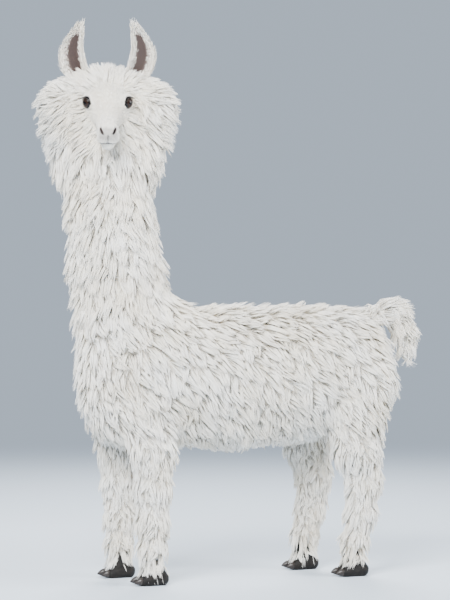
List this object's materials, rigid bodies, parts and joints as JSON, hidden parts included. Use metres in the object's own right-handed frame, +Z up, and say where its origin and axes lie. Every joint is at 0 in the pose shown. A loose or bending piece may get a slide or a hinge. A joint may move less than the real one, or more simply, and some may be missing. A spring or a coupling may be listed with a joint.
{
  "type": "llama model",
  "caption": "Life-size still model of a standing white llama in full fleece, head turned to its left, with upright curved ears and dark two-toed feet.",
  "frame": {"origin": "on the floor, below the middle of the whole animal's bounding box", "axes": "+Z up, -X the way the body faces, -Y the animal's left side, to which the head is turned"},
  "size_m": [1.2876, 0.4528, 1.8086],
  "materials": {
    "fleece": "long matte white wool",
    "dark_skin": "matte dark foot skin",
    "nail_horn": "satin black horn",
    "eye": "wet dark brown eye"
  },
  "bodies": {
    "root": {"trunk": "fleece", "neck": "fleece", "tail": "fleece", "head": "fleece", "leg_front_left": "fleece", "toe_front_left_outer": "dark_skin", "nail_front_left_outer": "nail_horn", "toe_front_left_inner": "dark_skin", "nail_front_left_inner": "nail_horn", "leg_front_right": "fleece", "toe_front_right_outer": "dark_skin", "nail_front_right_outer": "nail_horn", "toe_front_right_inner": "dark_skin", "nail_front_right_inner": "nail_horn", "leg_hind_left": "fleece", "toe_hind_left_outer": "dark_skin", "nail_hind_left_outer": "nail_horn", "toe_hind_left_inner": "dark_skin", "nail_hind_left_inner": "nail_horn", "leg_hind_right": "fleece", "toe_hind_right_outer": "dark_skin", "nail_hind_right_outer": "nail_horn", "toe_hind_right_inner": "dark_skin", "nail_hind_right_inner": "nail_horn", "eye_left": "eye", "ear_left": "fleece", "eye_right": "eye", "ear_right": "fleece"}
  },
  "joints": []
}
